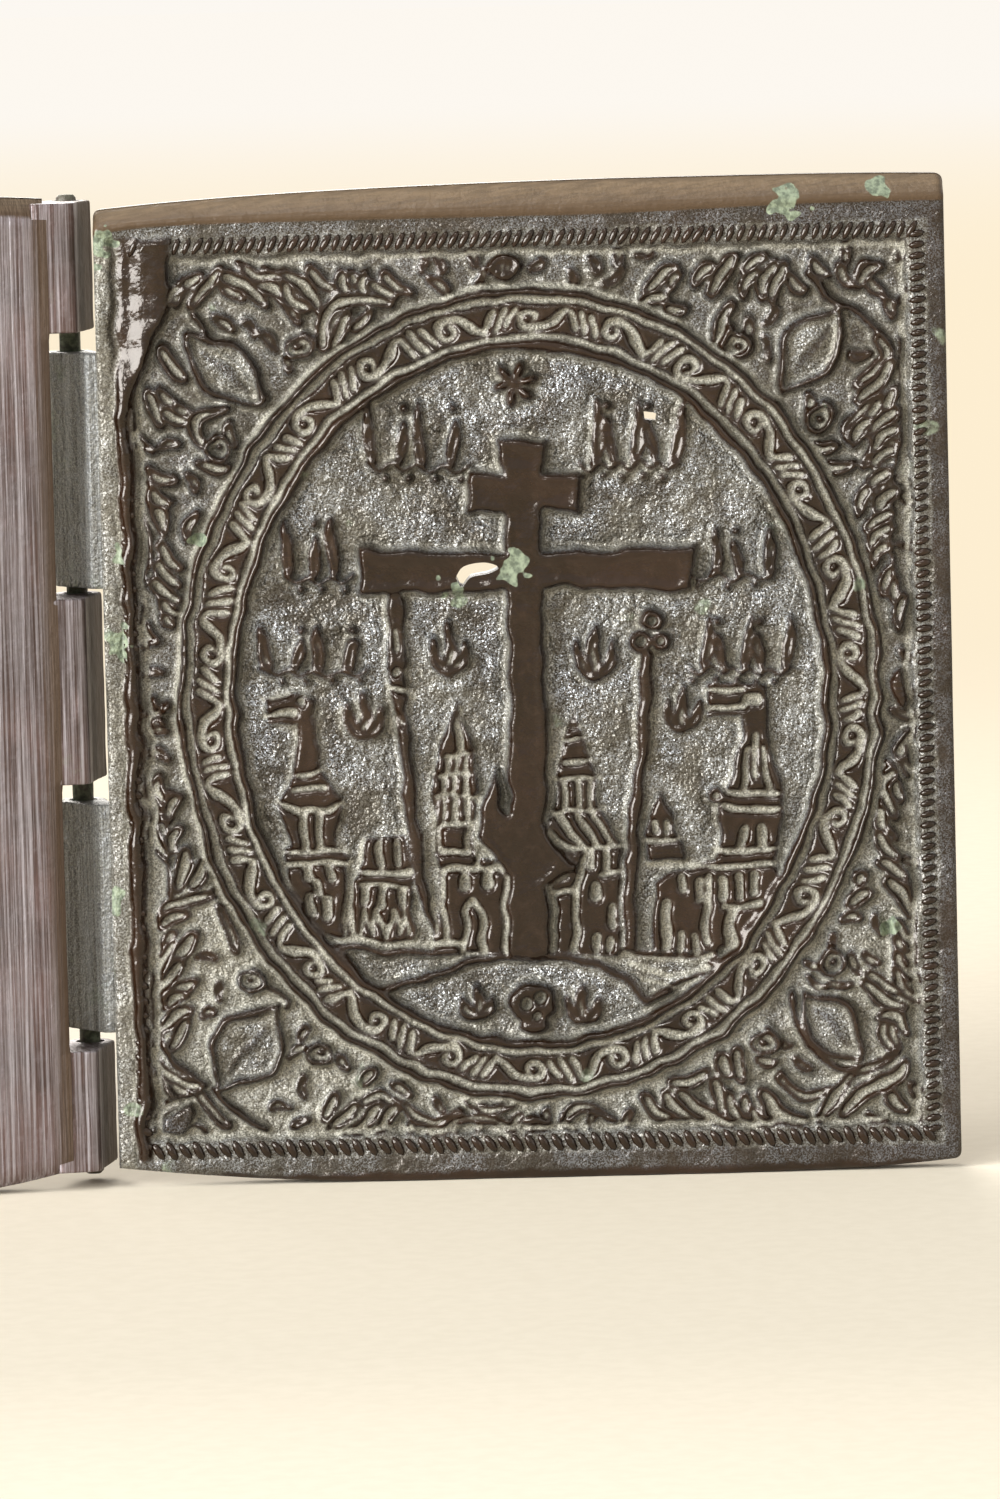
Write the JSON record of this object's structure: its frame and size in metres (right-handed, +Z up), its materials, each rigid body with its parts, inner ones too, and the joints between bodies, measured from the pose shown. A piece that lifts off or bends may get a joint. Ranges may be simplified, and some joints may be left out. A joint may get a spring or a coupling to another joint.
{
  "type": "folding bronze icon",
  "caption": "Travelling icon of cast bronze leaves joined by pinned hinges, with robed figures on the faces and a cross in an oval on the cover.",
  "frame": {"origin": "on the floor under the middle of the centre leaf, at half its thickness", "axes": "+Z up the leaves, +X across the centre leaf towards the cover leaf, +Y out of the faces with the figures"},
  "size_m": [0.1666, 0.0337, 0.065],
  "materials": {
    "dark_bronze": "dark brown patina, worn glossy on the raised parts, grey-green dust in the hollows",
    "filed_bronze": "brown patina over fine upright file marks",
    "pin_bronze": "dull drawn wire"
  },
  "bodies": {
    "centre": {"centre_leaf": "filed_bronze", "cover_hinge_pin": "pin_bronze", "inner_hinge_pin": "pin_bronze"},
    "cover": {"cover_leaf": "dark_bronze"},
    "inner": {"inner_leaf": "filed_bronze"}
  },
  "joints": [
    {"name": "cover_hinge", "type": "hinge", "parent": "centre", "child": "cover", "pos_m": [0.0295, 0.0038, 0], "axis": [0, 0, 1], "range_deg": [-3, 192]},
    {"name": "inner_hinge", "type": "hinge", "parent": "centre", "child": "inner", "pos_m": [-0.029, 0.0019, 0], "axis": [0, 0, -1], "range_deg": [-30, 160]}
  ]
}
